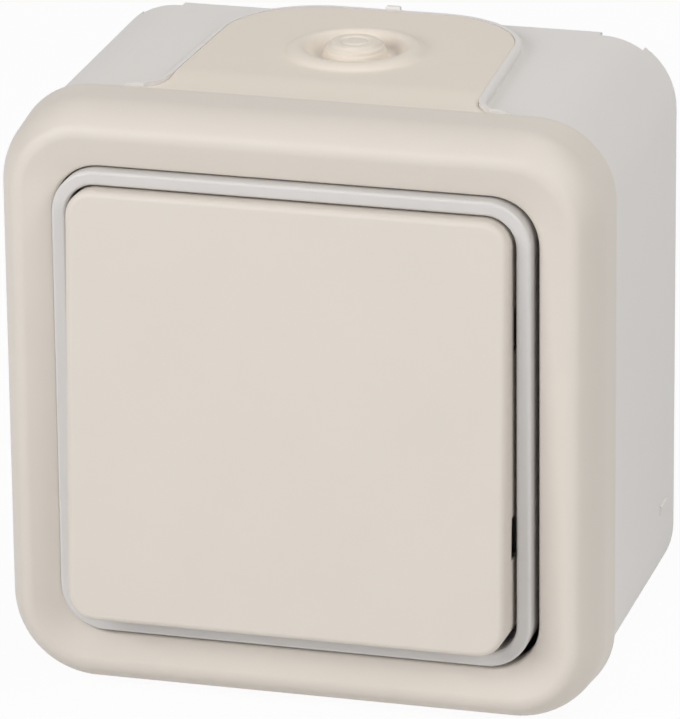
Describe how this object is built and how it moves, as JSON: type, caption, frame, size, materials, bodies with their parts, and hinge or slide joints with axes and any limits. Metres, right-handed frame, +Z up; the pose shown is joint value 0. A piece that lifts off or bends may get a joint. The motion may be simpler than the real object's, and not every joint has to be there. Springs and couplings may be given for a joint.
{
  "type": "surface-mounted weatherproof rocker switch",
  "caption": "Square surface-mounted weatherproof light switch: grey wall box with a soft cable entry on top, cream rounded frame and a large cream rocker.",
  "frame": {"origin": "centre of the box's flat back, on the wall plane", "axes": "+Z up on the wall, +Y into the wall, the front faces -Y"},
  "size_m": [0.076, 0.0534, 0.0778],
  "materials": {
    "grey_plastic": "fine matt moulded finish",
    "cream_plastic": "fine satin moulded finish",
    "soft_cream": "soft matt moulded finish",
    "light_grey_plastic": "satin moulded finish",
    "black_rubber": "matt black rubber",
    "insulating_plastic": "matt thermoset",
    "white_plastic": "satin engineering plastic",
    "steel": "zinc plated",
    "spring_steel": "drawn wire",
    "brass": "stamped brass",
    "silver": "silver contact alloy"
  },
  "bodies": {
    "housing": {"mounting_box": "grey_plastic", "entry_membrane": "soft_cream", "front_frame": "cream_plastic", "frame_gasket": "black_rubber", "support_ring": "light_grey_plastic", "support_screws": "steel", "splash_seal": "black_rubber", "mechanism_base": "insulating_plastic", "mechanism_cover": "insulating_plastic", "mechanism_screws": "steel", "common_terminal": "brass", "upper_terminal": "brass", "lower_terminal": "brass", "terminal_screws": "steel", "fixed_contact_tips": "silver"},
    "rocker_lever": {"rocker": "cream_plastic", "cradle": "white_plastic", "cradle_spring": "spring_steel"},
    "plunger": {"plunger": "white_plastic"},
    "contact_arm": {"contact_arm": "brass", "moving_contact_tips": "silver"}
  },
  "joints": [
    {"name": "rocker_hinge", "type": "hinge", "parent": "housing", "child": "rocker_lever", "pos_m": [0, -0.0405, 0], "axis": [1, 0, 0], "range_deg": [0, 6]},
    {"name": "contact_hinge", "type": "hinge", "parent": "housing", "child": "contact_arm", "pos_m": [0, -0.02472, 0], "axis": [1, 0, 0], "range_deg": [-16, 0]},
    {"name": "plunger_slide", "type": "slide", "parent": "rocker_lever", "child": "plunger", "axis": [0, -0.9986, 0.0523], "range_m": [0, 0.0005], "stiffness_N_per_m": 300, "deforming": ["cradle_spring"]}
  ],
  "couplings": [
    {"joint": "contact_hinge", "follows": "rocker_hinge", "ratio": -2.6666}
  ]
}
